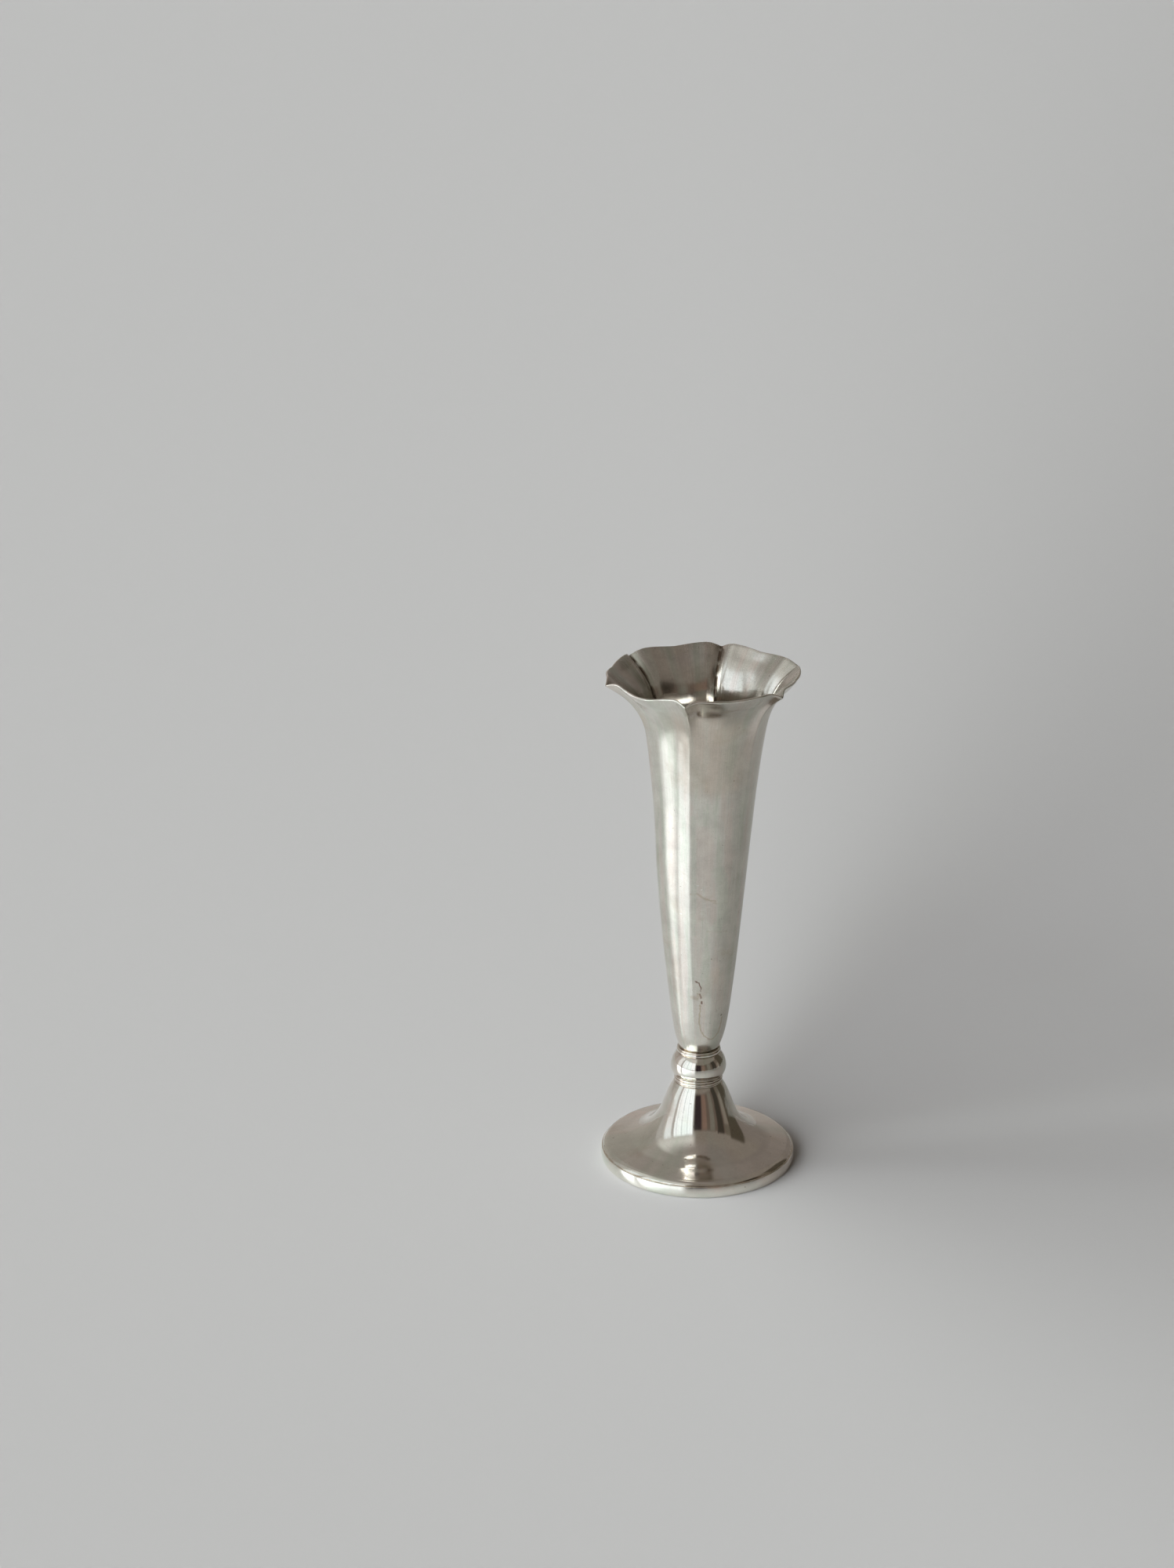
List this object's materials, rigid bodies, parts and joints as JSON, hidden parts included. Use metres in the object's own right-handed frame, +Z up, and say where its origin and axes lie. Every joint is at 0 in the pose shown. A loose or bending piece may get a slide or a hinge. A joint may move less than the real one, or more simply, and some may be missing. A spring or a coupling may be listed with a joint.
{
  "type": "trumpet vase",
  "caption": "Slender silver trumpet vase with a panelled body, wavy flared lip, round knop between fine collars and a weighted bell foot.",
  "frame": {"origin": "middle of the felt underside, on the surface that the vase stands on", "axes": "+Z up along the vase's axis of six-fold symmetry, -Y towards a crease of the trumpet, +X towards the middle of a panel"},
  "size_m": [0.068, 0.0686, 0.1804],
  "materials": {
    "silver": "worn polish",
    "pitch": "matte",
    "steel": "satin",
    "felt": "felt"
  },
  "bodies": {
    "root": {"trumpet_body": "silver", "vessel_floor": "silver", "upper_collar": "silver", "knop": "silver", "lower_collar": "silver", "foot_shell": "silver", "foot_band": "silver", "foot_filling": "pitch", "base_plate": "steel", "base_felt": "felt", "stem_rod": "steel", "rod_washer": "steel", "rod_nut": "steel"}
  },
  "joints": []
}
